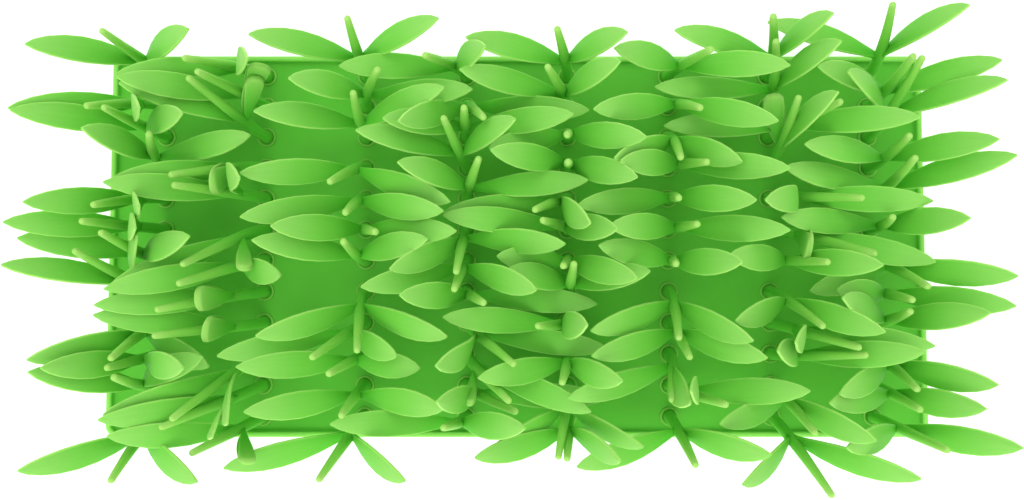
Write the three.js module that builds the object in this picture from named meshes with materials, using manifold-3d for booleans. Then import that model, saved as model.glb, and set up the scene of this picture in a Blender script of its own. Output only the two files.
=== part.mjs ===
import * as THREE from 'three';
import { mergeVertices } from 'three/addons/utils/BufferGeometryUtils.js';
import Module from 'manifold-3d';

// Lick mat of soft moulded silicone: a shallow tray planted with sprouts, each a stem between two
// leaves. Lengths are millimetres. +X runs along the tray, +Y across it and +Z up, and the origin
// is the middle of the underside.

const tray = {
  length: 278,
  depth: 130,
  cornerRadius: 4,
  floor: 3,
  rimWidth: 1.8,
  rimHeight: 2, // above the floor
};

const planting = {
  columns: 8,
  rows: 12,
  columnPitch: 34.5,
  rowPitch: 10.6,
};

const stem = {
  length: 42,
  rootThickness: 4,
  tipThickness: 2.7,
  rise: 10, // tenths, as for the leaves
  upright: 0.25, // share of the length that sets how straight the stem leaves the floor
  segments: 3,
};

const leaf = {
  length: 41,
  width: 8,
  drawnIn: 0.8, // by which each edge stops short, so that neighbours stand apart
  tipWidth: 0.8,
  thickness: 1,
  joint: 0.48, // share of the stem's curve below the leaves
  rise: 9, // tenths: 10 stands up to the leaf's full length, and less droops
  rootShare: 0.03, // part of the lance outline that the stem takes up
  arch: 0.045, // most that a leaf bows upwards, as a share of its length
  segments: 3,
};

// A square plug carries each stem through the floor and shows as a ring above it.
const plug = {
  width: 6.4,
  proud: 1,
};

// The plugs of one column share a foot strip in a groove under the floor.
const strip = {
  width: 7.6,
  thickness: 1.2,
};

const clearance = 0.3;

const silicone = {
  trayColour: 0x57b035,
  sproutColour: 0x72cf4a,
  roughness: 0.5,
};

// The readings of the tables are taken in a view of the mat from almost straight above.
const view = {
  distance: 265, // from the eye to the middle of the floor
  tilt: 2.34, // degrees by which the eye stands towards the -Y edge
  pointsPerMm: 2.915, // at the middle of the floor
  middleAcross: 517,
  middleDown: 245,
};

// How the soft sprouts lie: a table for each column and a row for each sprout, from the +Y edge.
// stem, left and right give where the tip of the stem and of each leaf shows, across and down.
// A third number, where there is one, is that stem's or leaf's own rise instead of the usual one.
const sproutTables = [
  [
    { stem: [101, 30], left: [25, 44], right: [188, 29] },
    { stem: [85, 106], left: [8, 108], right: [135, 107] },
    { stem: [103, 107], left: [10, 110], right: [182, 111, 10] },
    { stem: [149, 133], left: [82, 128], right: [250, 135, 10] },
    { stem: [92, 205], left: [23, 202], right: [137, 208, 8] },
    { stem: [80, 221], left: [3, 222], right: [130, 226] },
    { stem: [100, 232], left: [17, 238, 4], right: [190, 232, 10] },
    { stem: [73, 250], left: [1, 265], right: [133, 248, 6] },
    { stem: [110, 359], left: [27, 360], right: [209, 367, 5] },
    { stem: [106, 368, 9], left: [41, 368], right: [183, 368] },
    { stem: [113, 377], left: [28, 372], right: [203, 357, 10] },
    { stem: [110, 482], left: [18, 471], right: [197, 482] },
  ],
  [
    { stem: [183, 58], left: [115, 75, 6], right: [238, 60] },
    { stem: [196, 71], left: [117, 77, 10], right: [273, 69, 6] },
    { stem: [187, 77], left: [119, 83, 5], right: [265, 76, 10] },
    { stem: [169, 175], left: [110, 180, 5], right: [219, 184] },
    { stem: [172, 185], left: [103, 182], right: [236, 178] },
    { stem: [181, 265], left: [108, 288, 4], right: [252, 265] },
    { stem: [177, 284], left: [104, 289], right: [281, 275] },
    { stem: [155, 310], left: [94, 305], right: [208, 298] },
    { stem: [152, 336], left: [93, 315], right: [208, 330] },
    { stem: [170, 420], left: [103, 415, 3], right: [226, 423] },
    { stem: [159, 428, 8], left: [98, 420, 7], right: [213, 436] },
    { stem: [193, 454, 7], left: [107, 436, 5], right: [249, 461, 10] },
  ],
  [
    { stem: [347, 17], left: [249, 34], right: [438, 18] },
    { stem: [378, 69], left: [289, 78], right: [472, 89, 10] },
    { stem: [353, 92], left: [254, 111], right: [444, 87] },
    { stem: [329, 182], left: [240, 173], right: [450, 202] },
    { stem: [345, 213], left: [240, 217], right: [443, 211] },
    { stem: [376, 232], left: [271, 226], right: [456, 231] },
    { stem: [343, 241], left: [252, 240], right: [427, 239] },
    { stem: [357, 352], left: [256, 336], right: [447, 337] },
    { stem: [311, 358], left: [217, 356], right: [397, 356, 5] },
    { stem: [328, 374], left: [236, 367], right: [420, 368, 4] },
    { stem: [341, 416], left: [244, 412], right: [443, 409, 10] },
    { stem: [318, 481], left: [224, 468, 5], right: [405, 481] },
  ],
  [
    { stem: [424, 55], left: [339, 66, 4], right: [485, 46] },
    { stem: [484, 118], left: [399, 121, 10], right: [589, 110, 5] },
    { stem: [464, 107], left: [383, 118, 7], right: [573, 114, 10] },
    { stem: [443, 117], left: [356, 130], right: [515, 119] },
    { stem: [479, 158], left: [398, 162], right: [588, 180, 10] },
    { stem: [456, 273], left: [390, 269], right: [565, 244, 10] },
    { stem: [454, 290], left: [361, 287], right: [536, 290, 10] },
    { stem: [484, 303], left: [400, 295], right: [597, 304, 10] },
    { stem: [515, 365], left: [437, 366], right: [608, 349, 4] },
    { stem: [510, 402], left: [471, 398, 5], right: [591, 412, 10] },
    { stem: [517, 412, 9], left: [437, 402], right: [606, 398, 10] },
    { stem: [443, 428], left: [330, 424], right: [525, 428] },
  ],
  [
    { stem: [557, 28], left: [466, 37], right: [627, 32] },
    { stem: [547, 66], left: [460, 69, 10], right: [620, 61] },
    { stem: [567, 135], left: [489, 148, 4], right: [646, 137] },
    { stem: [568, 162], left: [491, 150], right: [637, 177] },
    { stem: [534, 210], left: [443, 213, 3], right: [588, 225] },
    { stem: [542, 220], left: [443, 215, 7], right: [617, 229] },
    { stem: [557, 266], left: [497, 256, 4], right: [650, 271, 5] },
    { stem: [576, 261], left: [507, 270, 5], right: [637, 278] },
    { stem: [537, 326], left: [443, 317, 10], right: [586, 325] },
    { stem: [562, 383], left: [478, 378, 7], right: [622, 381] },
    { stem: [553, 458, 7], left: [488, 453, 4], right: [643, 447, 6] },
    { stem: [573, 460, 7], left: [475, 458, 6], right: [620, 461, 10] },
  ],
  [
    { stem: [712, 49], left: [615, 48], right: [790, 65] },
    { stem: [701, 108], left: [594, 109], right: [778, 121] },
    { stem: [681, 158], left: [615, 158], right: [742, 162, 6] },
    { stem: [708, 162], left: [621, 161], right: [790, 168] },
    { stem: [679, 198], left: [578, 205], right: [756, 200] },
    { stem: [698, 224], left: [610, 226], right: [790, 230] },
    { stem: [676, 264], left: [599, 245, 10], right: [742, 262] },
    { stem: [679, 339], left: [591, 331], right: [753, 341] },
    { stem: [690, 358], left: [592, 356], right: [767, 358] },
    { stem: [672, 401], left: [568, 398], right: [692, 407] },
    { stem: [727, 405], left: [695, 390], right: [810, 391, 10] },
    { stem: [696, 466], left: [577, 467, 5], right: [771, 455] },
  ],
  [
    { stem: [773, 15], left: [675, 30], right: [833, 13] },
    { stem: [776, 40], left: [655, 87, 10], right: [841, 41] },
    { stem: [842, 101], left: [664, 126], right: [920, 117] },
    { stem: [799, 96], left: [763, 94], right: [838, 92] },
    { stem: [864, 198], left: [766, 199], right: [933, 201, 5] },
    { stem: [877, 254], left: [808, 246, 4], right: [936, 262, 5] },
    { stem: [829, 262], left: [730, 255], right: [883, 265] },
    { stem: [824, 327], left: [736, 321], right: [885, 332] },
    { stem: [861, 347], left: [801, 338], right: [935, 346] },
    { stem: [868, 357], left: [779, 351], right: [925, 352] },
    { stem: [816, 434], left: [720, 424, 7], right: [876, 441] },
    { stem: [833, 497], left: [743, 485], right: [921, 479] },
  ],
  [
    { stem: [893, 3], left: [768, 22], right: [969, 5] },
    { stem: [911, 55], left: [818, 66], right: [1002, 60, 5] },
    { stem: [926, 58], left: [848, 71], right: [1007, 80] },
    { stem: [910, 135], left: [805, 144], right: [999, 139] },
    { stem: [916, 157], left: [785, 167, 10], right: [1017, 155] },
    { stem: [893, 217], left: [782, 217, 10], right: [970, 218] },
    { stem: [929, 287], left: [810, 291, 5], right: [1018, 276] },
    { stem: [913, 300], left: [837, 290, 6], right: [1016, 306] },
    { stem: [911, 311], left: [843, 298, 10], right: [990, 313] },
    { stem: [918, 390], left: [840, 394], right: [998, 385] },
    { stem: [921, 410], left: [830, 403], right: [986, 409] },
    { stem: [949, 451], left: [847, 448], right: [1023, 448] },
  ],
];

const upwards = new THREE.Vector3(0, 0, 1);
const acrossTray = new THREE.Vector3(0, 1, 0);
const alongTray = new THREE.Vector3(1, 0, 0);

const wasm = await Module();
wasm.setup();

function solidFrom(geometry) {
  geometry.deleteAttribute('normal');
  geometry.deleteAttribute('uv');
  const merged = mergeVertices(geometry);
  const vertProperties = Float32Array.from(merged.attributes.position.array);
  const triVerts = Uint32Array.from(merged.index.array);
  return new wasm.Manifold(new wasm.Mesh({ numProp: 3, vertProperties, triVerts }));
}

function meshFrom(solid, name, colour) {
  const { vertProperties, triVerts } = solid.getMesh();
  const geometry = new THREE.BufferGeometry();
  geometry.setAttribute('position', new THREE.BufferAttribute(vertProperties, 3));
  geometry.setIndex(new THREE.BufferAttribute(triVerts, 1));
  geometry.computeVertexNormals();
  const { roughness } = silicone;
  const material = new THREE.MeshStandardMaterial({ color: colour, roughness, metalness: 0 });
  const mesh = new THREE.Mesh(geometry, material);
  mesh.name = name;
  return mesh;
}

function block(width, depth, height, x, y, bottom) {
  return solidFrom(new THREE.BoxGeometry(width, depth, height).translate(x, y, bottom + height / 2));
}

function columnX(column) {
  return (column - (planting.columns - 1) / 2) * planting.columnPitch;
}

function rowY(row) {
  return ((planting.rows - 1) / 2 - row) * planting.rowPitch;
}

// Tray

function roundedSlab(length, depth, radius, bottom, height) {
  const shape = new THREE.Shape();
  const x = length / 2 - radius;
  const y = depth / 2 - radius;
  const quarter = Math.PI / 2;
  shape.absarc(x, -y, radius, -quarter, 0);
  shape.absarc(x, y, radius, 0, quarter);
  shape.absarc(-x, y, radius, quarter, 2 * quarter);
  shape.absarc(-x, -y, radius, 2 * quarter, 3 * quarter);
  const options = { depth: height, bevelEnabled: false, curveSegments: 4 };
  return solidFrom(new THREE.ExtrudeGeometry(shape, options).translate(0, 0, bottom));
}

function makeTray() {
  const { length, depth, cornerRadius, floor, rimWidth, rimHeight } = tray;
  const inside = [length - 2 * rimWidth, depth - 2 * rimWidth, cornerRadius - rimWidth];
  let body = roundedSlab(length, depth, cornerRadius, 0, floor + rimHeight)
    .subtract(roundedSlab(...inside, floor, floor + rimHeight));
  const grooveWidth = strip.width + 2 * clearance;
  const grooveLength = stripLength() + 2 * clearance;
  const grooveDepth = strip.thickness + clearance;
  const hole = plug.width + 2 * clearance;
  for (let column = 0; column < planting.columns; column += 1) {
    const x = columnX(column);
    body = body.subtract(block(grooveWidth, grooveLength, 2 * grooveDepth, x, 0, -grooveDepth));
    for (let row = 0; row < planting.rows; row += 1) {
      body = body.subtract(block(hole, hole, 2 * floor, x, rowY(row), 0));
    }
  }
  return body;
}

// Sprouts

const tilt = THREE.MathUtils.degToRad(view.tilt);
const eye = new THREE.Vector3(0, 0, view.distance)
  .applyAxisAngle(alongTray, tilt)
  .addScaledVector(upwards, tray.floor);

function sightLine(across, down) {
  const ahead = view.distance * view.pointsPerMm;
  return new THREE.Vector3(across - view.middleAcross, view.middleDown - down, -ahead)
    .applyAxisAngle(alongTray, tilt)
    .normalize();
}

// The place on a reading's sight line that a stem or leaf reaches from where it is rooted.
function strandTip([across, down, ownRise], root, { length, rise }) {
  const line = sightLine(across, down);
  const toRoot = root.clone().sub(eye);
  const nearest = toRoot.dot(line);
  const spare = length * length - toRoot.lengthSq() + nearest * nearest;
  const back = Math.sqrt(Math.max(spare, 0)) * (ownRise ?? rise) / 10;
  return line.multiplyScalar(nearest - back).add(eye);
}

// A four-sided strand along a curve, as wide and thick at each share of its length as it is told.
// All its sections are square to the straight line between its ends, so its faces are flat.
function strand(curve, sideways, widthAt, thicknessAt, segments) {
  const straight = curve.getPoint(1).sub(curve.getPoint(0)).normalize();
  const side = sideways.clone().projectOnPlane(straight).normalize();
  const face = straight.cross(side);
  const box = new THREE.BoxGeometry(1, 1, 1, 1, 1, segments);
  const places = box.attributes.position;
  const corner = new THREE.Vector3();
  for (let index = 0; index < places.count; index += 1) {
    corner.fromBufferAttribute(places, index);
    const share = corner.z + 0.5;
    const place = curve.getPoint(share)
      .addScaledVector(side, corner.x * widthAt(share))
      .addScaledVector(face, corner.y * thicknessAt(share));
    places.setXYZ(index, place.x, place.y, place.z);
  }
  return solidFrom(box);
}

function stemCurve(root, reading) {
  const tip = strandTip(reading, root, stem);
  const bend = root.clone().addScaledVector(upwards, stem.length * stem.upright);
  return new THREE.QuadraticBezierCurve3(root, bend, tip);
}

// A leaf bows away from the stem by as much as its length is longer than the straight way to its tip.
function leafCurve(joint, tip, stemway) {
  const straight = joint.distanceTo(tip);
  const slack = Math.max(leaf.length - straight, 0);
  const bow = Math.min(Math.sqrt(0.375 * straight * slack), leaf.length * leaf.arch);
  const away = stemway.clone().projectOnPlane(tip.clone().sub(joint).normalize()).normalize();
  const bend = joint.clone().lerp(tip, 0.5).addScaledVector(away, 2 * bow);
  return new THREE.QuadraticBezierCurve3(joint, bend, tip);
}

// Lance outline: narrow at the stem, widest near the middle and pointed.
function leafWidth(share) {
  const lance = Math.sin(Math.PI * (leaf.rootShare + (1 - leaf.rootShare) * share) ** 0.9);
  return Math.max((leaf.width - 2 * leaf.drawnIn) * Math.max(lance, 0) ** 0.85, leaf.tipWidth);
}

function stemThickness(share) {
  return THREE.MathUtils.lerp(stem.rootThickness, stem.tipThickness, share);
}

function makeSprout(column, row) {
  const readings = sproutTables[column][row];
  const x = columnX(column);
  const y = rowY(row);
  const curve = stemCurve(new THREE.Vector3(x, y, tray.floor), readings.stem);
  const joint = curve.getPoint(leaf.joint);
  const stemway = curve.getTangent(leaf.joint);
  const tips = [readings.left, readings.right].map((reading) => strandTip(reading, joint, leaf));
  const sideways = stemway.clone().cross(tips[1].clone().sub(tips[0])).normalize();
  const plugHeight = tray.floor + plug.proud - strip.thickness / 2;
  let sprout = block(plug.width, plug.width, plugHeight, x, y, strip.thickness / 2)
    .add(strand(curve, acrossTray, stemThickness, stemThickness, stem.segments));
  for (const tip of tips) {
    const blade = leafCurve(joint, tip, stemway);
    sprout = sprout.add(strand(blade, sideways, leafWidth, () => leaf.thickness, leaf.segments));
  }
  return sprout;
}

function stripLength() {
  return (planting.rows - 1) * planting.rowPitch + strip.width;
}

function makeSproutColumn(column) {
  let body = block(strip.width, stripLength(), strip.thickness, columnX(column), 0, 0);
  for (let row = 0; row < planting.rows; row += 1) {
    body = body.add(makeSprout(column, row));
  }
  return body;
}

const lickMat = new THREE.Group();
lickMat.add(meshFrom(makeTray(), 'tray', silicone.trayColour));
for (let column = 0; column < planting.columns; column += 1) {
  lickMat.add(meshFrom(makeSproutColumn(column), `sprout_column_${column + 1}`, silicone.sproutColour));
}

export default lickMat;
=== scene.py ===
import math

import bmesh
import bpy
import numpy as np
from mathutils import Euler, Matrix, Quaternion, Vector


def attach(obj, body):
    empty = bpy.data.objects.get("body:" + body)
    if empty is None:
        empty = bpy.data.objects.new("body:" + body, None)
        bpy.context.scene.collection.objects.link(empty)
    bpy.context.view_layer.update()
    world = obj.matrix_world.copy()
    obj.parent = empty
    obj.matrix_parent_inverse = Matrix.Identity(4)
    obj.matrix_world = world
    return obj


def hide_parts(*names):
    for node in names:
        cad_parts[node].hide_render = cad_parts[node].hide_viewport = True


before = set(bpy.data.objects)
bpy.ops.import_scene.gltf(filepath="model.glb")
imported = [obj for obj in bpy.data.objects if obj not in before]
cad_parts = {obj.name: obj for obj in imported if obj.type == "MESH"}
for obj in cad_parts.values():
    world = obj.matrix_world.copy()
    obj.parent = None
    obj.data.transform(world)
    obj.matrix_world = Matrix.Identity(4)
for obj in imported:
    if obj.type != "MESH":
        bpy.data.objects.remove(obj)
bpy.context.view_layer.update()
scene = bpy.context.scene
mm = 0.001  # sizes are written in millimetres, and the scene is in metres
near = 0.01 * mm  # two heights closer than this are the same
sharpTurn = 1  # radians: the two faces at a sharp edge turn by more than this
upwards = 0.9  # the normal of a face that faces up has a Z above this
print("frame loaded,", len(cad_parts), "nodes")


# Small helpers

def linearColour(hexColour):
    # an sRGB colour such as "62bf3d" as the linear values that shaders take
    channels = [int(hexColour[i:i + 2], 16) / 255 for i in (0, 2, 4)]
    return [c / 12.92 if c <= 0.04045 else ((c + 0.055) / 1.055) ** 2.4 for c in channels] + [1]


def addNode(tree, kind, settings=None, links=None):
    # settings go to the node's sockets, or to its own properties where no socket has the name
    node = tree.nodes.new(kind)
    for name, value in (settings or {}).items():
        if isinstance(name, int) or name in node.inputs:
            node.inputs[name].default_value = value
        else:
            setattr(node, name, value)
    for name, source in (links or {}).items():
        tree.links.new(source, node.inputs[name])
    return node


def deselect():
    bpy.ops.object.select_all(action="DESELECT")


def added(name):
    # the primitive that was just added, with its place and size moved into its mesh
    piece = bpy.context.object
    piece.name = piece.data.name = name
    bpy.ops.object.transform_apply(location=True, rotation=True, scale=True)
    return piece


def editMode(on):
    bpy.ops.object.mode_set(mode="EDIT" if on else "OBJECT")


def pick(piece, kind, test):
    # in edit mode: selects the edges or faces that pass the test, and no others
    bpy.ops.mesh.select_mode(type=kind)
    bpy.ops.mesh.select_all(action="DESELECT")
    shape = bmesh.from_edit_mesh(piece.data)
    for part in shape.edges if kind == "EDGE" else shape.faces:
        if test(part):
            part.select_set(True)
    bmesh.update_edit_mesh(piece.data)


def facesUp(face):
    return face.normal.z > upwards


def runsUp(edge):
    return abs(edge.verts[0].co.z - edge.verts[1].co.z) > near


def roundEdges(piece, height, size, steps):
    # in edit mode: rounds the sharp edges that lie at a height
    def isSharp(edge):
        level = all(abs(corner.co.z - height) < near for corner in edge.verts)
        return level and edge.calc_face_angle(0) > sharpTurn
    pick(piece, "EDGE", isSharp)
    bpy.ops.mesh.bevel(offset=size, segments=steps, affect="EDGES")


def raiseInset(thickness, height):
    # in edit mode: draws the selected face in, and moves what is left of it up or down
    bpy.ops.mesh.inset(thickness=thickness)
    bpy.ops.mesh.extrude_region_move(TRANSFORM_OT_translate={"value": (0, 0, height)})


def applyModifier(piece, kind, **settings):
    modifier = piece.modifiers.new(kind.lower(), kind)
    for name, value in settings.items():
        setattr(modifier, name, value)
    bpy.context.view_layer.objects.active = piece
    bpy.ops.object.modifier_apply(modifier=modifier.name)


def pointsOf(mesh):
    points = np.empty(len(mesh.vertices) * 3, np.float32)
    mesh.vertices.foreach_get("co", points)
    return points.reshape(-1, 3).astype(float)


def setPoints(mesh, points):
    mesh.vertices.foreach_set("co", np.asarray(points, np.float32).ravel())
    mesh.update()


def setValues(mesh, name, values):
    # a number on each point of the mesh, which a material reads by its name
    data = mesh.attributes.get(name) or mesh.attributes.new(name, "FLOAT", "POINT")
    data.data.foreach_set("value", np.broadcast_to(values, len(mesh.vertices)).astype(np.float32))


def copyOf(model, name, place=(0, 0, 0)):
    # a copy with its own mesh, which is moved to the place
    copy = bpy.data.objects.new(name, model.data.copy())
    setPoints(copy.data, pointsOf(copy.data) + place)
    scene.collection.objects.link(copy)
    return copy


def joined(pieces, name):
    deselect()
    for piece in pieces:
        piece.select_set(True)
    bpy.context.view_layer.objects.active = pieces[0]
    bpy.ops.object.join()
    whole = bpy.context.object
    whole.name = whole.data.name = name
    return whole


# Camera, where the photograph was taken from: almost straight above the mat

viewpoint = {
    "distance": 265 * mm,  # from the eye to the middle of the floor
    "tilt": math.radians(2.34),  # by which the eye stands towards the -Y edge
    "pointsPerMm": 2.915,  # image points to a millimetre at the middle of the floor
    "middle": (517, 245),  # image point, across and down, that the camera looks at
    "image": (1024, 500),
    "sensor": 36.0,  # mm
    "clipStart": 10 * mm,  # nothing nearer to the eye shows
}

trayFloor = 3 * mm  # height of the tray's floor above the underside
pointsAhead = viewpoint["distance"] / mm * viewpoint["pointsPerMm"]
turn = Euler((viewpoint["tilt"], 0, 0))
eye = Vector((0, 0, viewpoint["distance"]))
eye.rotate(turn)
eye.z += trayFloor


def makeCamera():
    width, height = viewpoint["image"]
    across, down = viewpoint["middle"]
    data = bpy.data.cameras.new("camera")
    data.sensor_width = viewpoint["sensor"]
    data.lens = pointsAhead / width * viewpoint["sensor"]
    data.shift_x = (width / 2 - across) / width
    data.shift_y = (down - height / 2) / width
    data.clip_start = viewpoint["clipStart"]
    camera = bpy.data.objects.new("camera", data)
    camera.location = eye
    camera.rotation_euler = turn
    scene.collection.objects.link(camera)
    scene.camera = camera


makeCamera()
print("camera placed")


# Materials
# Silicone rubber, cured in a satin mould: no grain, a soft broad sheen instead of a gloss, and light
# that sinks in a little. Leaf margins and bends carry a painted highlight, tips are painted paler as painted
# light, and roots deeper as painted shade.

siliconeFinish = {
    "ior": 1.41,
    "specular": 0.1,
    "roughness": (0.48, 0.60),  # least and most
    "subsurface": 0.55,
    "scatter": 1.5 * mm,  # how far light spreads under the surface
    "scatterColour": (0.7, 1.0, 0.45),  # shares of that distance for red, green and blue
}

noiseSpan = {"From Min": 0.3, "From Max": 0.7}  # nearly all of a noise pattern lies between these


def siliconeMaterial(name):
    material = bpy.data.materials.new(name)
    material.use_nodes = True
    tree = material.node_tree
    tree.nodes.clear()
    shader = addNode(tree, "ShaderNodeBsdfPrincipled", {
        "IOR": siliconeFinish["ior"],
        "Specular IOR Level": siliconeFinish["specular"],
        "Subsurface Weight": siliconeFinish["subsurface"],
        "Subsurface Radius": siliconeFinish["scatterColour"],
        "Subsurface Scale": siliconeFinish["scatter"],
    })
    addNode(tree, "ShaderNodeOutputMaterial", links={"Surface": shader.outputs["BSDF"]})
    return material, tree, shader


def paintedShadeAndLightAlong(tree, along, look):
    # painted shade at the root of a leaf or stem, and painted light towards its tip
    lowerStart, lowerEnd = look["rootToMiddle"]
    upperStart, upperEnd = look["middleToTip"]
    lower = addNode(tree, "ShaderNodeMapRange", {
        "interpolation_type": "SMOOTHSTEP", "From Min": lowerStart, "From Max": lowerEnd,
    }, {"Value": along})
    upper = addNode(tree, "ShaderNodeMapRange", {
        "interpolation_type": "SMOOTHSTEP", "From Min": upperStart, "From Max": upperEnd,
    }, {"Value": along})
    colour = addNode(tree, "ShaderNodeMix", {
        "data_type": "RGBA", "A": linearColour(look["root"]), "B": linearColour(look["middle"]),
    }, {"Factor": lower.outputs["Result"]})
    colour = addNode(tree, "ShaderNodeMix", {
        "data_type": "RGBA", "B": linearColour(look["tip"]),
    }, {"Factor": upper.outputs["Result"], "A": colour.outputs["Result"]})
    return colour.outputs["Result"]


def tonedBy(tree, colour, pattern, tones):
    # a colour that is a little darker or paler from place to place
    darkest, palest = tones
    tone = addNode(tree, "ShaderNodeMapRange", {**noiseSpan, "To Min": darkest, "To Max": palest},
                   {"Value": pattern})
    toned = addNode(tree, "ShaderNodeVectorMath", {"operation": "SCALE"},
                    {"Vector": colour, "Scale": tone.outputs["Result"]})
    return toned.outputs["Vector"]


def roughenBy(tree, shader, pattern):
    # a sheen that is a little broader in some places than in others
    least, most = siliconeFinish["roughness"]
    roughness = addNode(tree, "ShaderNodeMapRange", {**noiseSpan, "To Min": least, "To Max": most},
                        {"Value": pattern})
    tree.links.new(roughness.outputs["Result"], shader.inputs["Roughness"])


leafLook = {
    # root, middle and tip: painted shade at the root, painted light towards the tip
    "root": "52ba2e",
    "middle": "71c446",
    "tip": "8cca61",
    # colour of the painted highlight on the margins and bends
    "edge": "a6da70",
    "rootToMiddle": (0, 0.5),  # shares of the length between which one colour becomes the next
    "middleToTip": (0.45, 1),
    "streakWidth": 0.7 * mm,
    "streakLength": 14 * mm,
    "streakDepth": 0.05 * mm,
    "streakBump": 0.1,  # how much of that depth shows
    "streakTones": (0.98, 1.02),  # darkest and palest
    "streakDetail": 3,
    "streakDetailShare": 0.6,  # how strong the finer detail is
    "streakSets": 50,  # how many there are to draw from
}


def makeLeafSilicone():
    material, tree, shader = siliconeMaterial("mouldedSiliconeLeaf")
    along, across, tone, paintedHighlight = [
        addNode(tree, "ShaderNodeAttribute", {"attribute_name": name}).outputs["Fac"]
        for name in ("along", "across", "tone", "paintedHighlight")
    ]

    # faint streaks along the leaf, another set on each leaf
    scales = {
        "X": (along, leaf["length"] / leafLook["streakLength"]),
        "Y": (across, leaf["width"] / leafLook["streakWidth"]),
        "Z": (tone, leafLook["streakSets"]),
    }
    place = addNode(tree, "ShaderNodeCombineXYZ")
    for axis, (value, scale) in scales.items():
        scaled = addNode(tree, "ShaderNodeMath", {"operation": "MULTIPLY", 1: scale}, {0: value})
        tree.links.new(scaled.outputs["Value"], place.inputs[axis])
    streaks = addNode(tree, "ShaderNodeTexNoise", {
        "Scale": 1, "Detail": leafLook["streakDetail"], "Roughness": leafLook["streakDetailShare"],
    }, {"Vector": place.outputs["Vector"]}).outputs["Fac"]
    colour = tonedBy(tree, paintedShadeAndLightAlong(tree, along, leafLook), streaks, leafLook["streakTones"])
    bump = addNode(tree, "ShaderNodeBump", {
        "Strength": leafLook["streakBump"], "Distance": leafLook["streakDepth"],
    }, {"Height": streaks})
    tree.links.new(bump.outputs["Normal"], shader.inputs["Normal"])
    roughenBy(tree, shader, streaks)

    # painted highlight along the margins, and on the bend of a leaf whose tip hangs behind
    colour = addNode(tree, "ShaderNodeMix", {
        "data_type": "RGBA", "B": linearColour(leafLook["edge"]),
    }, {"Factor": paintedHighlight, "A": colour})
    tree.links.new(colour.outputs["Result"], shader.inputs["Base Color"])
    return material


stemLook = {
    # root, middle and tip: painted shade at the root, painted light towards the tip
    "root": "62c23c",
    "middle": "88cc55",
    "tip": "9dce69",
    "rootToMiddle": (0.3, 0.85),
    "middleToTip": (0.85, 1),
    "patch": 3 * mm,  # size of the patches of its sheen
    "patchDetail": 3,
}


def makeStemSilicone():
    material, tree, shader = siliconeMaterial("mouldedSiliconeStem")
    along = addNode(tree, "ShaderNodeAttribute", {"attribute_name": "along"}).outputs["Fac"]
    place = addNode(tree, "ShaderNodeTexCoord").outputs["Object"]
    tree.links.new(paintedShadeAndLightAlong(tree, along, stemLook), shader.inputs["Base Color"])
    clouds = addNode(tree, "ShaderNodeTexNoise", {
        "Scale": 1 / stemLook["patch"], "Detail": stemLook["patchDetail"],
    }, {"Vector": place})
    roughenBy(tree, shader, clouds.outputs["Fac"])
    return material


trayLook = {
    "floor": "62bf3d",
    # painted light: the rim's top is lighter than the floor
    "paintedRimLight": "92dc62",
    "rimLightStart": 0.3 * mm,  # above the floor, where the painted light on the rim's top starts to show
    "patch": 26 * mm,  # size of the faint cloudiness of the floor
    "patchTones": (0.92, 1.08),
    "patchDetail": 2,
}


def makeTraySilicone():
    material, tree, shader = siliconeMaterial("mouldedSiliconeTray")
    place = addNode(tree, "ShaderNodeTexCoord").outputs["Object"]
    height = addNode(tree, "ShaderNodeSeparateXYZ", links={"Vector": place}).outputs["Z"]
    # painted light on the rim, rising with height above the floor
    rise = addNode(tree, "ShaderNodeMapRange", {
        "interpolation_type": "SMOOTHSTEP",
        "From Min": tray["floor"] + trayLook["rimLightStart"],
        "From Max": tray["floor"] + tray["rimHeight"],
    }, {"Value": height})
    colour = addNode(tree, "ShaderNodeMix", {
        "data_type": "RGBA", "A": linearColour(trayLook["floor"]), "B": linearColour(trayLook["paintedRimLight"]),
    }, {"Factor": rise.outputs["Result"]}).outputs["Result"]
    clouds = addNode(tree, "ShaderNodeTexNoise", {
        "Scale": 1 / trayLook["patch"], "Detail": trayLook["patchDetail"],
    }, {"Vector": place}).outputs["Fac"]
    toned = tonedBy(tree, colour, clouds, trayLook["patchTones"])
    tree.links.new(toned, shader.inputs["Base Color"])
    roughenBy(tree, shader, clouds)
    return material


# Tray: one shallow moulding with a rounded rim, and a seat through its floor for each root

tray = {
    "length": 278 * mm,
    "depth": 130 * mm,
    "cornerRadius": 4 * mm,
    "cornerSteps": 8,
    "floor": trayFloor,
    "rimWidth": 1.8 * mm,
    "rimHeight": 2 * mm,  # above the floor
    "rimRounding": 0.7 * mm,
    "fillet": 0.8 * mm,  # between floor and rim
    "rimSteps": 3,  # of that rounding and fillet
    "footRounding": 0.5 * mm,
    "footSteps": 2,
    "clearance": 0.05 * mm,  # around a root
    "smoothUnder": math.radians(40),  # edges that turn by less look smooth
}

planting = {"columns": 8, "rows": 12, "columnPitch": 34.5 * mm, "rowPitch": 10.6 * mm}

# A root is a plug with a round collar above the floor and a round foot under it.
root = {
    "width": 6.4 * mm,
    "proud": 0.5 * mm,  # collar above the floor
    "lip": 0.5 * mm,  # wall of the collar
    "hollow": 0.15 * mm,  # depth inside the collar
    "rounding": 0.19 * mm,
    "roundingSteps": 2,
    "tone": 0.5,  # as for a place this far along a stem
    # a paler place on the stem's colours for the collar's lip: a painted highlight
    "lipHighlight": 0.75,
    "footWidth": 7.6 * mm,
    "footThickness": 1.2 * mm,
    "sides": 18,
    "smoothUnder": math.radians(50),
}


def columnX(column):
    return (column - (planting["columns"] - 1) / 2) * planting["columnPitch"]


def rowY(row):
    return ((planting["rows"] - 1) / 2 - row) * planting["rowPitch"]


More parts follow.
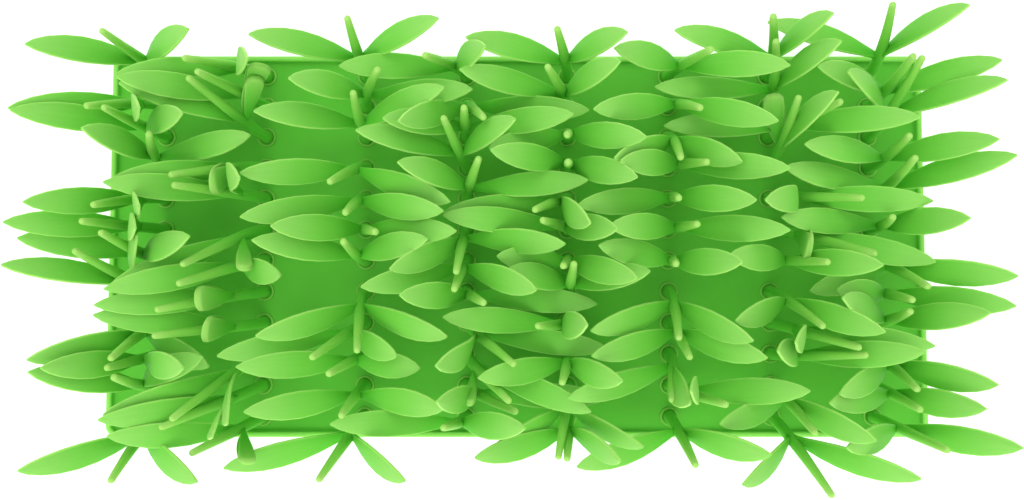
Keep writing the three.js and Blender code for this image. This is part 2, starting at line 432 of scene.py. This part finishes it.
def makeSeatCutter():
    # a hole for the collar over a wider pocket for the foot, at every place of the grid
    clear = tray["clearance"]
    pocket = root["footThickness"] + clear
    deselect()
    bpy.ops.mesh.primitive_cylinder_add(vertices=root["sides"], radius=root["footWidth"] / 2 + clear,
                                        depth=2 * pocket)
    model = added("seatCutter")
    editMode(True)
    pick(model, "FACE", facesUp)
    raiseInset((root["footWidth"] - root["width"]) / 2, 2 * tray["floor"])
    editMode(False)
    copies = []
    for column in range(planting["columns"]):
        for row in range(planting["rows"]):
            copies.append(copyOf(model, "seatCutter", (columnX(column), rowY(row), 0)))
    bpy.data.objects.remove(model)
    return joined(copies, "seatCutter")


def makeTray():
    top = tray["floor"] + tray["rimHeight"]
    deselect()
    bpy.ops.mesh.primitive_cube_add(size=1, location=(0, 0, top / 2),
                                    scale=(tray["length"], tray["depth"], top))
    piece = added("mouldedTray")
    editMode(True)
    pick(piece, "EDGE", runsUp)
    bpy.ops.mesh.bevel(offset=tray["cornerRadius"], segments=tray["cornerSteps"], affect="EDGES")
    pick(piece, "FACE", facesUp)
    raiseInset(tray["rimWidth"], -tray["rimHeight"])
    roundEdges(piece, top, tray["rimRounding"], tray["rimSteps"])
    roundEdges(piece, tray["floor"], tray["fillet"], tray["rimSteps"])
    roundEdges(piece, 0, tray["footRounding"], tray["footSteps"])
    editMode(False)
    cutter = makeSeatCutter()
    applyModifier(piece, "BOOLEAN", object=cutter, operation="DIFFERENCE", solver="EXACT")
    bpy.data.objects.remove(cutter)
    deselect()
    piece.select_set(True)
    bpy.ops.object.shade_smooth_by_angle(angle=tray["smoothUnder"])
    applyModifier(piece, "WEIGHTED_NORMAL", keep_sharp=True)
    piece.data.materials.append(makeTraySilicone())
    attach(piece, "root")
    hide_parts("tray")


makeTray()
print("tray made")


# Sprouts: a tapered stem with a round tip, and two lance-shaped leaves that leave it on opposite sides

fullRise = 10  # a stem or leaf with this rise stands up to its full length, and with less it droops
curveSteps = 64  # in which the length of a curve is measured

stem = {
    "length": 42 * mm,
    "rootWidth": 5.2 * mm,
    "neckWidth": 3.8 * mm,
    "neck": 0.04,  # share of the length over which the root narrows
    "jointWidth": 3.5 * mm,
    "tipWidth": 2 * mm,
    "tipRounding": 0.4,  # share of the tip's width
    "tipSteps": 3,
    "rise": fullRise,
    "upright": 0.25,  # share of the length that sets how straight the stem leaves the floor
    "sides": 10,
    "cuts": 7,
    "axes": (2, 0, 1),  # of the straight stem, for its length, side and face
}

leaf = {
    "length": 41 * mm,
    "width": 8.2 * mm,
    "stalkWidth": 2.2 * mm,
    "stalkShare": 0.5,  # share of the length that is nowhere narrower than the stalk
    "tipWidth": 0.5 * mm,
    "fullTowardsTip": 1.27,  # above 1 puts the widest place beyond the middle
    "bluntness": 0.64,  # below 1 rounds the point
    "thickness": 1 * mm,
    "rootThickness": 1.9 * mm,
    "rootShare": 0.16,  # share of the length over which the root thins
    "tipThickness": 0.8 * mm,
    "camber": 0.25 * mm,  # by which the middle stands above the margins
    "joint": 0.48,  # share of the stem's curve below the leaves
    "rise": 9,
    "arch": 0.045,  # most that a leaf bows upwards, as a share of its length
    "foldShare": 0.5,  # share of a folded leaf below its bend
    "foldGap": 3 * mm,  # between the two halves of a leaf whose tip hangs behind
    "foldRounding": 1.9 * mm,  # by which the bend of such a leaf is lower at its margins
    "foldFlatness": 3.5,  # higher keeps more of the bend level
    "steps": (9, 4),  # along and across
    "endCrowding": 0.6,  # how much closer the steps are at both ends
    "foldedSteps": (18, 8),
    "bendCrowding": 1.6,  # above 1 brings the steps of a folded leaf closer at its bend
    "marginRow": 0.45,  # share of the width from the middle to where the margin starts to thin
    "rowThickness": 0.95,  # of the wall there, as a share of the thickness
    "marginThickness": 0.7,  # the same for the margin
    "marginHighlight": 0.85,  # how strong the margin's painted highlight is
    "marginHighlightStart": (0.08, 0.3),  # shares of the length between which that begins
    "bendHighlight": 0.7,  # how strong the painted highlight on the bend of a leaf whose tip hangs behind is
    "bendHighlightShare": 0.1,  # share of the length over which the bend's painted highlight spreads
    "axes": (0, 1, 2),
    "smoothUnder": math.radians(50),
    "toneSeed": 11,  # of the draws that give each leaf its set of streaks
}

# How the soft sprouts lie: a table for each column and a row for each sprout, from the +Y edge.
# stem, left and right give where the tip of the stem and of each leaf shows, across and down.
# A third number, where there is one, is that stem's or leaf's own rise instead of the usual one.
# leftFold or rightFold gives where the bend of a leaf that stands up and bends over shows, from one
# margin of the leaf to the other, and then the bend's own rise where it has one. Such a leaf has no
# reading of its tip where the tip hangs behind the bend, and it is drawn in to the width that its bend
# shows. leftTurn or rightTurn is how far a leaf is twisted about its length, in degrees.
sproutTables = [
    [
        {"stem": (101, 30), "left": (25, 44), "right": (188, 29)},
        {"stem": (85, 106), "left": (8, 108), "right": (139, 108), "rightFold": (131, 94, 134, 121)},
        {"stem": (103, 107), "left": (10, 110), "right": (182, 113), "rightFold": (156, 106, 154, 135)},
        {"stem": (149, 133), "left": (82, 128), "right": (250, 135, 10)},
        {"stem": (92, 205), "left": (23, 202), "right": (139, 206), "rightFold": (132, 193, 136, 218)},
        {"stem": (80, 221), "left": (3, 222), "right": (135, 228), "rightFold": (130, 213, 128, 239)},
        {"stem": (100, 232), "left": (17, 238, 4), "right": (189, 236), "rightFold": (155, 236, 152, 262)},
        {"stem": (73, 250), "left": (1, 265), "right": (137, 235, 6)},
        {"stem": (110, 359), "left": (27, 360), "right": (209, 367, 5)},
        {"stem": (106, 368, 9), "left": (41, 368), "right": (183, 368), "rightFold": (154, 351, 156, 379)},
        {"stem": (113, 377), "left": (28, 372), "right": (203, 357), "rightFold": (152, 361, 151, 388, 6)},
        {"stem": (110, 482), "left": (18, 471), "right": (197, 482)},
    ],
    [
        {"stem": (183, 58), "left": (115, 75, 6), "right": (247, 59), "rightFold": (238, 48, 236, 74)},
        {"stem": (196, 71), "left": (117, 77, 10), "rightFold": (250, 62, 273, 67)},
        {"stem": (187, 77), "left": (119, 83, 5), "rightFold": (247, 77, 266, 76)},
        {"stem": (169, 175), "left": (110, 180, 5), "rightFold": (210, 170, 211, 197)},
        {"stem": (172, 185), "left": (103, 182), "right": (239, 178), "rightFold": (226, 163, 230, 190)},
        {"stem": (181, 265), "left": (108, 288, 4), "rightFold": (236, 270, 253, 270)},
        {"stem": (177, 284), "left": (104, 289), "right": (281, 275, 5)},
        {"stem": (155, 310), "left": (94, 305), "rightFold": (195, 286, 196, 312)},
        {"stem": (152, 336), "left": (93, 315), "rightFold": (206, 317, 201, 343)},
        {"stem": (170, 420), "left": (103, 415, 3), "right": (227, 424), "rightTurn": -30},
        {"stem": (159, 428, 8), "left": (98, 420, 7), "right": (212, 437), "rightTurn": -30},
        {"stem": (190, 454, 7), "left": (107, 436, 5), "rightFold": (239, 463, 257, 464)},
    ],
    [
        {"stem": (347, 17), "left": (249, 34), "right": (438, 18)},
        {"stem": (378, 69), "left": (289, 78), "right": (472, 89, 10)},
        {"stem": (353, 92), "left": (254, 111), "right": (444, 87)},
        {"stem": (329, 182), "left": (240, 173), "right": (450, 202)},
        {"stem": (345, 213), "left": (240, 217), "right": (443, 211)},
        {"stem": (376, 232), "left": (271, 226), "right": (456, 231)},
        {"stem": (343, 241), "left": (252, 240), "right": (427, 239)},
        {"stem": (357, 352), "left": (256, 336), "right": (447, 337)},
        {"stem": (311, 358), "left": (217, 356), "right": (397, 356, 5)},
        {"stem": (328, 374), "left": (236, 367), "right": (420, 368, 4)},
        {"stem": (341, 416), "left": (244, 412), "right": (443, 409, 10)},
        {"stem": (318, 481), "left": (224, 468, -8), "right": (405, 481)},
    ],
    [
        {"stem": (424, 55), "left": (339, 66, 4), "right": (485, 46)},
        {"stem": (484, 118), "left": (399, 121, 10), "right": (589, 110, 5)},
        {"stem": (464, 107), "left": (383, 118, 7), "right": (573, 114, 10)},
        {"stem": (443, 117), "left": (356, 130), "right": (515, 119)},
        {"stem": (479, 158), "left": (398, 162), "right": (588, 180, 10)},
        {"stem": (456, 273), "left": (390, 269), "right": (565, 244, 10)},
        {"stem": (454, 290), "left": (361, 287), "right": (536, 290, 10)},
        {"stem": (484, 303), "left": (400, 295), "right": (597, 304, 10)},
        {"stem": (515, 365), "left": (436, 366), "leftFold": (471, 338, 463, 372), "right": (608, 349, 4)},
        {"stem": (510, 402), "leftFold": (464, 405, 475, 405), "right": (591, 412, 10)},
        {"stem": (517, 412, 9), "left": (437, 402), "right": (606, 398, 10)},
        {"stem": (443, 428), "left": (330, 424), "right": (525, 428)},
    ],
    [
        {"stem": (557, 28), "left": (466, 37), "right": (627, 32)},
        {"stem": (547, 66), "left": (460, 69, 10), "right": (620, 61)},
        {"stem": (567, 135), "left": (489, 148, 4), "right": (646, 137)},
        {"stem": (568, 162), "left": (491, 150), "right": (637, 177)},
        {"stem": (534, 210), "left": (443, 213, 3), "right": (590, 223), "rightFold": (566, 198, 567, 224)},
        {"stem": (542, 220), "left": (443, 215, 7), "right": (617, 229)},
        {"stem": (563, 266), "left": (497, 256, 4), "right": (637, 278)},
        {"stem": (574, 263), "left": (507, 270, 5), "right": (650, 271, 6)},
        {"stem": (537, 326), "left": (443, 317, 10), "right": (587, 325), "rightFold": (567, 312, 565, 339)},
        {"stem": (562, 383), "left": (478, 378, 7), "right": (622, 381)},
        {"stem": (558, 459, 7), "left": (488, 453, 4), "right": (643, 447, 6)},
        {"stem": (567, 460, 7), "left": (475, 458, 6), "right": (620, 461, 10)},
    ],
    [
        {"stem": (712, 49), "left": (615, 48), "right": (790, 65)},
        {"stem": (701, 108), "left": (594, 109), "right": (778, 121)},
        {"stem": (681, 158), "left": (615, 158), "right": (742, 162, 6)},
        {"stem": (708, 162), "left": (621, 161), "right": (790, 168)},
        {"stem": (679, 198), "left": (578, 205), "right": (756, 200)},
        {"stem": (698, 224), "left": (610, 226), "right": (790, 230)},
        {"stem": (676, 264), "left": (599, 245, 8), "right": (742, 262)},
        {"stem": (679, 339), "left": (591, 331), "right": (753, 341)},
        {"stem": (690, 358), "left": (592, 356), "right": (767, 358)},
        {"stem": (672, 401), "left": (568, 398), "right": (690, 404), "rightTurn": -35},
        {"stem": (727, 405), "left": (691, 391), "leftFold": (697, 377, 699, 403), "right": (810, 391, 10)},
        {"stem": (696, 466), "left": (577, 467, 5), "right": (771, 455)},
    ],
    [
        {"stem": (773, 15), "left": (675, 30), "right": (833, 13)},
        {"stem": (776, 40), "left": (655, 87, 10), "right": (841, 41)},
        {"stem": (842, 101), "left": (664, 126), "right": (920, 117)},
        {"stem": (799, 96), "leftFold": (762, 96, 783, 91), "right": (838, 92)},
        {"stem": (864, 198), "left": (766, 200), "leftFold": (796, 185, 797, 212), "right": (933, 201, 5)},
        {"stem": (877, 254), "leftFold": (813, 234, 808, 262), "right": (936, 262, 5)},
        {"stem": (829, 262), "left": (730, 255), "right": (883, 265)},
        {"stem": (824, 327), "left": (736, 321), "right": (885, 332)},
        {"stem": (861, 348), "left": (796, 342), "leftFold": (807, 325, 803, 352), "right": (935, 346)},
        {"stem": (868, 355), "left": (778, 351), "leftFold": (793, 340, 797, 366), "right": (925, 352)},
        {"stem": (816, 434), "left": (720, 424, 7), "right": (876, 441)},
        {"stem": (833, 497), "left": (743, 485), "right": (921, 479)},
    ],
    [
        {"stem": (893, 3), "left": (768, 22), "right": (969, 5)},
        {"stem": (914, 55), "left": (818, 66), "right": (1002, 60, 5)},
        {"stem": (923, 56), "left": (848, 71), "right": (1007, 80)},
        {"stem": (910, 135), "left": (805, 144), "right": (999, 139)},
        {"stem": (916, 157), "left": (785, 167, 10), "right": (1017, 155)},
        {"stem": (893, 217), "left": (782, 217, 10), "right": (970, 218)},
        {"stem": (929, 287), "left": (810, 291, 5), "right": (1018, 276)},
        {"stem": (913, 300), "left": (837, 290, 6), "right": (1016, 306)},
        {"stem": (911, 311), "left": (843, 298), "leftFold": (869, 295, 874, 323), "right": (990, 313)},
        {"stem": (918, 390), "left": (840, 394), "right": (998, 385)},
        {"stem": (921, 410), "left": (830, 403), "right": (986, 409)},
        {"stem": (949, 451), "left": (847, 448), "right": (1023, 448)},
    ],
]


def modelRoot():
    collarTop = tray["floor"] + root["proud"]
    deselect()
    bpy.ops.mesh.primitive_cylinder_add(vertices=root["sides"], radius=root["footWidth"] / 2,
                                        depth=root["footThickness"],
                                        location=(0, 0, root["footThickness"] / 2))
    model = added("rootModel")
    editMode(True)
    pick(model, "FACE", facesUp)
    raiseInset((root["footWidth"] - root["width"]) / 2, collarTop - root["footThickness"])
    raiseInset(root["lip"], -root["hollow"])
    roundEdges(model, collarTop, root["rounding"], root["roundingSteps"])
    editMode(False)
    bpy.ops.object.shade_smooth_by_angle(angle=root["smoothUnder"])
    # the collar's lip takes a paler colour than the rest of the plug: a painted highlight
    onLip = pointsOf(model.data)[:, 2] > collarTop - root["rounding"] / 2
    setValues(model.data, "along", np.where(onLip, root["lipHighlight"], root["tone"]))
    model.data.materials.append(stemSilicone)
    return model


def modelStem():
    # straight, from the floor up
    deselect()
    bpy.ops.mesh.primitive_cylinder_add(vertices=stem["sides"], radius=stem["tipWidth"] / 2,
                                        depth=stem["length"], location=(0, 0, stem["length"] / 2))
    model = added("stemModel")
    editMode(True)
    pick(model, "EDGE", runsUp)
    bpy.ops.mesh.subdivide(number_cuts=stem["cuts"])
    roundEdges(model, stem["length"], stem["tipRounding"] * stem["tipWidth"], stem["tipSteps"])
    editMode(False)
    bpy.ops.object.shade_smooth()
    points = pointsOf(model.data)
    firstCut = 1 / (stem["cuts"] + 1)  # which is moved down to the neck
    share = np.interp(points[:, 2] / stem["length"], (0, firstCut, 1), (0, stem["neck"], 1))
    widths = [stem[place + "Width"] for place in ("root", "neck", "joint", "tip")]
    width = np.interp(share, (0, stem["neck"], leaf["joint"], 1), widths)
    points[:, :2] *= (width / stem["tipWidth"])[:, None]
    points[:, 2] = share * stem["length"]
    setPoints(model.data, points)
    setValues(model.data, "along", share)
    model.data.materials.append(stemSilicone)
    return model


def leafWidth(share):
    # lance outline: a narrow stalk, widest beyond the middle and a blunt point
    lance = np.maximum(np.sin(np.pi * share ** leaf["fullTowardsTip"]), 0) ** leaf["bluntness"]
    least = np.interp(share, (leaf["stalkShare"], 1), (leaf["stalkWidth"], leaf["tipWidth"]))
    return np.maximum(leaf["width"] * lance, least)


def modelLeaf(steps, folded, bendHighlight):
    # flat, with its length along X and its width along Y
    segments, rows = steps
    deselect()
    bpy.ops.mesh.primitive_grid_add(x_subdivisions=segments, y_subdivisions=rows, size=1)
    model = added("leafModel")
    applyModifier(model, "SOLIDIFY", thickness=1, offset=0)
    bpy.ops.object.shade_smooth_by_angle(angle=leaf["smoothUnder"])
    points = pointsOf(model.data)
    even = 2 * points[:, 0]  # from -1 at the root to 1 at the tip
    if folded:
        crowded = np.sign(even) * np.abs(even) ** leaf["bendCrowding"]
    else:
        crowded = (1 - leaf["endCrowding"]) * even + leaf["endCrowding"] * np.sin(np.pi / 2 * even)
    along = 0.5 + 0.5 * crowded
    row = np.abs(points[:, 1])
    rowPlaces = (0, 0.5 - 1 / rows, 0.5)  # the middle, the row beside the margin, and the margin
    across = np.sign(points[:, 1]) * np.interp(row, rowPlaces, (0, leaf["marginRow"], 0.5))
    walls = leaf["rootThickness"], leaf["thickness"], leaf["tipThickness"]
    thickness = np.interp(along, (0, leaf["rootShare"], 1), walls)
    thickness *= np.interp(row, rowPlaces, (1, leaf["rowThickness"], leaf["marginThickness"]))
    width = leafWidth(along)
    crown = leaf["camber"] * (1 - (2 * across) ** 2) * width / leaf["width"]
    setPoints(model.data, np.stack((along * leaf["length"], across * width,
                                    points[:, 2] * thickness + crown), axis=1))
    setValues(model.data, "along", along)
    setValues(model.data, "across", across)
    # painted highlight along the margins, fading out towards the stalk, and on the bend of a doubled leaf
    paintedMarginHighlight = np.interp(row, rowPlaces, (0, 0, leaf["marginHighlight"]))
    paintedMarginHighlight *= np.interp(along, leaf["marginHighlightStart"], (0, 1))
    paintedBendHighlight = bendHighlight * np.exp(-np.abs(along - leaf["foldShare"]) / leaf["bendHighlightShare"])
    setValues(model.data, "paintedHighlight", np.maximum(paintedMarginHighlight, paintedBendHighlight))
    model.data.materials.append(leafSilicone)
    return model


def sightLine(across, down):
    middleAcross, middleDown = viewpoint["middle"]
    line = Vector((across - middleAcross, middleDown - down, -pointsAhead))
    line.rotate(turn)
    return line.normalized()


def strandTip(reading, start, length, usualRise):
    # the place on a reading's sight line that a stem or leaf reaches from where it is rooted
    across, down, *ownRise = reading
    rise = ownRise[0] if ownRise else usualRise
    line = sightLine(across, down)
    toStart = start - eye
    nearest = toStart.dot(line)
    spare = length ** 2 - toStart.length_squared + nearest ** 2
    return eye + line * (nearest - math.sqrt(max(spare, 0)) * rise / fullRise)


def curvePoint(points, share):
    # a place on the smooth curve that the points draw, found between each two of them in turn
    while len(points) > 1:
        points = [a * (1 - share) + b * share for a, b in zip(points, points[1:])]
    return points[0]


def curveWay(points, share):
    return curvePoint([b - a for a, b in zip(points, points[1:])], share)


def stemCurve(start, reading):
    bend = start + Vector((0, 0, stem["length"] * stem["upright"]))
    return start, bend, strandTip(reading, start, stem["length"], stem["rise"])


def leafCurve(joint, tip, stemWay):
    # A leaf that is longer than the straight way to its tip bows up, the way that its stem runs.
    # A shallow bow adds 8/3 of its square, divided by the straight way, to the length.
    chord = tip - joint
    slack = max(leaf["length"] - chord.length, 0)
    bow = min(math.sqrt(3 / 8 * chord.length * slack), leaf["length"] * leaf["arch"])
    bowWay = (stemWay - stemWay.project(chord)).normalized()
    return joint, (joint + tip) / 2 + bowWay * 2 * bow, tip


def foldedCurve(joint, readings, side):
    # a leaf that stands up and bends over, with the way that its width runs, how much of the width
    # shows, and how far the bend is lower at the margins
    fold = readings[side + "Fold"]
    ends, ownRise = (fold[:2], fold[2:4]), fold[4:]
    middle = [sum(pair) / 2 for pair in zip(*ends)]
    lower = leaf["length"] * leaf["foldShare"]
    bend = strandTip([*middle, *ownRise], joint, lower, fullRise)
    sight = bend - eye
    first, last = [sightLine(*end) * sight.length for end in ends]
    sideways = (last - first).normalized()
    if side in readings:
        tip = strandTip(readings[side], bend, leaf["length"] - lower, fullRise)
        outside = (bend - (joint + tip) / 2).normalized()
        shown, drop = 1, (0, 0, 0)
    else:
        outside = (bend - joint).normalized()
        behind = outside.cross(sideways)
        tip = joint + behind * math.copysign(leaf["foldGap"], behind.dot(sight))
        shown, drop = min((last - first).length / leaf["width"], 1), outside * leaf["foldRounding"]
    # the outer face is the one that was read, and the face that the camber raises
    bend = bend - outside * leaf["thickness"] / 2
    if (tip - joint).cross(sideways).dot(outside) < 0:
        sideways = -sideways
    # given twice, the knee makes a close bend, and this place of it puts the curve's middle on the bend
    knee = (bend * 8 - joint - tip) / 6
    return (joint, knee, knee, tip), sideways, shown, drop


def unit(vectors):
    return vectors / np.linalg.norm(vectors, axis=1, keepdims=True)


def evenShares(curve, share):
    # where on the curve a share of its whole length is reached
    steps = np.linspace(0, 1, curveSteps + 1)
    way = np.diff(curvePoint(curve, steps[:, None]), axis=0)
    travelled = np.concatenate(([0], np.cumsum(np.linalg.norm(way, axis=1))))
    return np.interp(share, travelled / travelled[-1], steps)


def bentAlong(model, strand, curve, sideways, name, shown=1, drop=(0, 0, 0)):
    # a copy of a straight stem or leaf laid along a curve
    piece = copyOf(model, name)
    along, side, face = pointsOf(piece.data)[:, strand["axes"]].T[:, :, None]
    curve = [np.array(point) for point in curve]
    share = evenShares(curve, along / strand["length"])
    way = unit(curveWay(curve, share))
    sideways = np.array(sideways)
    sideways = unit(sideways - way * (way @ sideways)[:, None])
    lowered = np.array(drop) * np.abs(2 * side / leaf["width"]) ** leaf["foldFlatness"]
    setPoints(piece.data, curvePoint(curve, share) - lowered + sideways * side * shown
              + np.cross(way, sideways) * face)
    return piece


def makeSprout(column, row, models, tones):
    readings = sproutTables[column][row]
    start = Vector((columnX(column), rowY(row), tray["floor"]))
    plug = copyOf(models["root"], "root", (start.x, start.y, 0))
    curve = stemCurve(start, readings["stem"])
    anySide = (0, 1, 0)  # a stem is round
    pieces = [plug, bentAlong(models["stem"], stem, curve, anySide, "stem")]
    joint = curvePoint(curve, leaf["joint"])
    stemWay = curveWay(curve, leaf["joint"]).normalized()
    ends = {}
    for side in ("left", "right"):
        reading = readings.get(side) or readings[side + "Fold"][:2]
        ends[side] = strandTip(reading, joint, leaf["length"], leaf["rise"])
    across = stemWay.cross(ends["right"] - ends["left"]).normalized()
    for side, turned in (("left", -1), ("right", 1)):
        if side + "Fold" in readings:
            model = models["foldedLeaf" if side in readings else "doubledLeaf"]
            blade, sideways, shown, drop = foldedCurve(joint, readings, side)
        else:
            model = models["leaf"]
            blade, shown, drop = leafCurve(joint, ends[side], stemWay), 1, (0, 0, 0)
            twist = math.radians(readings.get(side + "Turn", 0))
            sideways = Quaternion(ends[side] - joint, twist) @ (across * turned)
        pieces.append(bentAlong(model, leaf, blade, sideways, "leaf", shown, drop))
    for piece in pieces:
        setValues(piece.data, "tone", tones.random())
    return pieces


def makeSprouts():
    models = {
        "root": modelRoot(),
        "stem": modelStem(),
        "leaf": modelLeaf(leaf["steps"], False, 0),
        "foldedLeaf": modelLeaf(leaf["foldedSteps"], True, 0),
        "doubledLeaf": modelLeaf(leaf["foldedSteps"], True, leaf["bendHighlight"]),
    }
    tones = np.random.default_rng(leaf["toneSeed"])
    for column in range(planting["columns"]):
        pieces = []
        for row in range(planting["rows"]):
            pieces += makeSprout(column, row, models, tones)
        piece = joined(pieces, f"sprouts{column + 1}")
        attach(piece, "root")
        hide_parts(f"sprout_column_{column + 1}")
    for model in models.values():
        bpy.data.objects.remove(model)


leafSilicone = makeLeafSilicone()
stemSilicone = makeStemSilicone()
makeSprouts()
print("sprouts made")


# Studio: a white light table between two softboxes

studio = {
    "floorSize": 6.0,  # metres
    "floorColour": "f4f4f2",
    "floorRoughness": 0.8,
    "floorGlow": 0.3,
    "sky": 1,
    "softboxSize": 0.8,  # metres
    "softboxes": [  # metres and watts
        {"place": (-0.15, -0.58, 0.75), "power": 4.1},
        {"place": (-0.15, 0.55, 0.78), "power": 1.5},
    ],
}


def makeStudio():
    white = linearColour("ffffff")
    deselect()
    bpy.ops.mesh.primitive_plane_add(size=studio["floorSize"], location=(0, 0, -near))
    floor = added("studioFloor")
    material = bpy.data.materials.new("whiteLightTable")
    material.use_nodes = True
    shader = material.node_tree.nodes["Principled BSDF"]
    shader.inputs["Base Color"].default_value = linearColour(studio["floorColour"])
    shader.inputs["Roughness"].default_value = studio["floorRoughness"]
    shader.inputs["Emission Color"].default_value = white
    shader.inputs["Emission Strength"].default_value = studio["floorGlow"]
    floor.data.materials.append(material)

    world = bpy.data.worlds.new("studio")
    world.use_nodes = True
    world.node_tree.nodes["Background"].inputs["Color"].default_value = white
    world.node_tree.nodes["Background"].inputs["Strength"].default_value = studio["sky"]
    scene.world = world

    for box in studio["softboxes"]:
        data = bpy.data.lights.new("softbox", "AREA")
        data.size = studio["softboxSize"]
        data.energy = box["power"]
        softbox = bpy.data.objects.new("softbox", data)
        softbox.location = box["place"]
        softbox.rotation_euler = (-softbox.location).to_track_quat("-Z", "Y").to_euler()
        softbox.visible_camera = False
        scene.collection.objects.link(softbox)
    scene.view_settings.view_transform = "Standard"


makeStudio()
print("studio lit")
